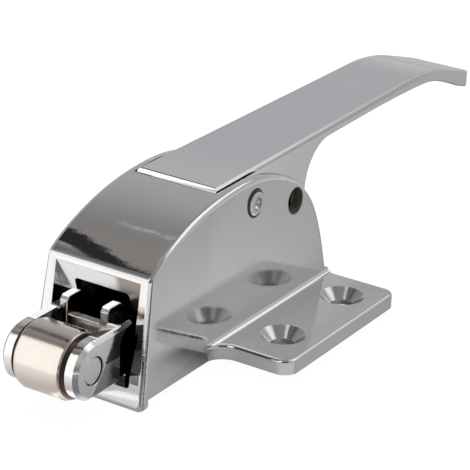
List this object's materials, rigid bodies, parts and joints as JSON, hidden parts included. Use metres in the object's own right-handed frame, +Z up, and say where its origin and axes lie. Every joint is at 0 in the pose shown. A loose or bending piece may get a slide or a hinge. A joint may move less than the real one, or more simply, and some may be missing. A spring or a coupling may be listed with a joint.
{
  "type": "spring door latch",
  "caption": "Sprung roller door latch: lifting the long flat lever draws the roller bolt into the screw-on housing and a spring returns it.",
  "frame": {"origin": "centre of the four-screw pattern, on the underside of the base", "axes": "+X along the lever towards its free end, the roller points to -X, +Y across, +Z up from the mounting face"},
  "size_m": [0.1731, 0.0664, 0.0399],
  "materials": {
    "chrome": "bright plated, mirror polish",
    "chrome_lever": "bright plated, mirror polish",
    "chrome_carrier": "bright plated over a die casting",
    "roller_metal": "turned, satin nickel with a warm tint",
    "roller_pin_steel": "ground, satin",
    "pin_steel": "ground, satin",
    "washer_steel": "plain",
    "screw_steel": "zinc plated",
    "plate_steel": "zinc plated sheet",
    "spring_steel": "drawn wire, oiled",
    "rod_steel": "turned",
    "bronze": "sintered bronze",
    "seat_plastic": "moulded",
    "dark_bush": "moulded",
    "buffer_rubber": "matte"
  },
  "bodies": {
    "housing": {"housing": "chrome", "base_plate": "plate_steel", "base_plate_screws": "screw_steel", "lever_pivot_pin": "pin_steel", "lever_washer_near": "washer_steel", "lever_washer_far": "washer_steel", "spring_seat": "seat_plastic", "main_spring": "spring_steel", "lever_buffer": "buffer_rubber"},
    "lever": {"lever": "chrome_lever", "lever_bush_near": "bronze", "lever_bush_far": "bronze", "drive_pin": "pin_steel"},
    "carrier": {"roller_carrier": "chrome_carrier", "roller_pin": "roller_pin_steel", "roller_pin_lock": "spring_steel", "spring_guide_rod": "rod_steel"},
    "roller": {"roller": "roller_metal", "roller_bush_near": "dark_bush", "roller_bush_far": "dark_bush"}
  },
  "joints": [
    {"name": "lever_hinge", "type": "hinge", "parent": "housing", "child": "lever", "pos_m": [-0.00855, 0, 0.0304], "axis": [0, -1, 0], "range_deg": [0, 23]},
    {"name": "carrier_slide", "type": "slide", "parent": "housing", "child": "carrier", "axis": [1, 0, 0], "range_m": [0, 0.008], "stiffness_N_per_m": 1200, "springref_m": -0.006, "deforming": ["main_spring"]},
    {"name": "roller_spin", "type": "hinge", "parent": "carrier", "child": "roller", "pos_m": [-0.0625, 0, 0.01], "axis": [0, 1, 0], "continuous": true}
  ],
  "couplings": [
    {"joint": "carrier_slide", "follows": "lever_hinge", "m_per_rad": 0.019867}
  ]
}
